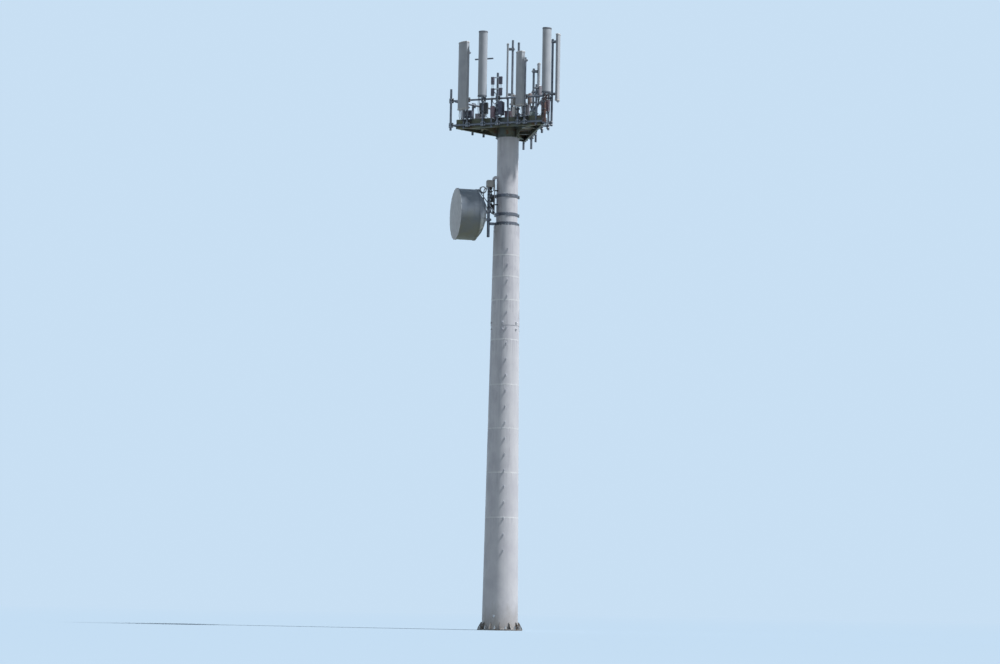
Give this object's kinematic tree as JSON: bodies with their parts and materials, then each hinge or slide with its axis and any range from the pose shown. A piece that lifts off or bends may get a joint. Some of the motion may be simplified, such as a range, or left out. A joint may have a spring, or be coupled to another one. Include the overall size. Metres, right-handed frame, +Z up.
{
  "type": "cell tower",
  "caption": "Steel monopole cell tower with a triangular antenna headframe, panel antennas on pipe mounts and a drum-shrouded microwave dish on its slim extension.",
  "frame": {"origin": "centre of the base flange's underside, on the shaft's axis", "axes": "+Z up along the shaft; -Y towards the camera; +X to the right as the picture shows it, with the dish on the -X side"},
  "size_m": [4.3528, 4.3278, 23.75],
  "materials": {
    "shaft_paint": "pale grey paint, matt, streaked and blotched by weather",
    "weathered_steel": "galvanised plate, dull, with rust at its edges",
    "galvanised": "hot-dip galvanised steel, dull grey, spangled",
    "deck_steel": "galvanised chequer plate, dull and stained",
    "bracket_zinc": "galvanised brackets, darker in the corners",
    "panel_radome": "pale grey glass-fibre skin, satin, lightly soiled",
    "dish_paint": "pale grey powder coat, satin, streaked",
    "dish_skin": "white moulded skin, matt, lightly soiled",
    "unit_casing": "light grey cast housing, matt",
    "cable_black": "black jacket, matt"
  },
  "bodies": {
    "root": {"base_flange": "weathered_steel", "base_gussets": "weathered_steel", "lower_shaft": "shaft_paint", "upper_shaft": "shaft_paint", "port_cover": "shaft_paint", "step_lugs": "shaft_paint", "shaft_cap": "shaft_paint", "extension_tube": "shaft_paint", "headframe_hub": "galvanised", "radial_arms": "galvanised", "edge_beam_front": "galvanised", "edge_beam_right": "galvanised", "edge_beam_back": "galvanised", "deck_plates": "deck_steel", "toe_boards": "galvanised", "guard_rail_front": "galvanised", "guard_rail_right": "galvanised", "guard_rail_back": "galvanised", "pipes_front": "galvanised", "pipes_right": "galvanised", "pipes_back": "galvanised", "clamps_front": "bracket_zinc", "clamps_right": "bracket_zinc", "clamps_back": "bracket_zinc", "outriggers": "galvanised", "panel_left_wide": "panel_radome", "panel_left_tall": "panel_radome", "panel_back": "panel_radome", "panel_middle": "panel_radome", "panel_right_tall": "panel_radome", "panel_right_outer": "panel_radome", "panel_right_short": "panel_radome", "dish_collars": "bracket_zinc", "dish_arms": "galvanised", "dish_pipe": "galvanised", "dish_yoke": "bracket_zinc", "dish_reflector": "dish_paint", "dish_drum": "dish_paint", "dish_radome": "dish_skin", "dish_radio": "unit_casing", "radio_stack": "unit_casing", "radio_units": "unit_casing", "feeder_cables": "cable_black", "jumper_cables": "cable_black"}
  },
  "joints": []
}
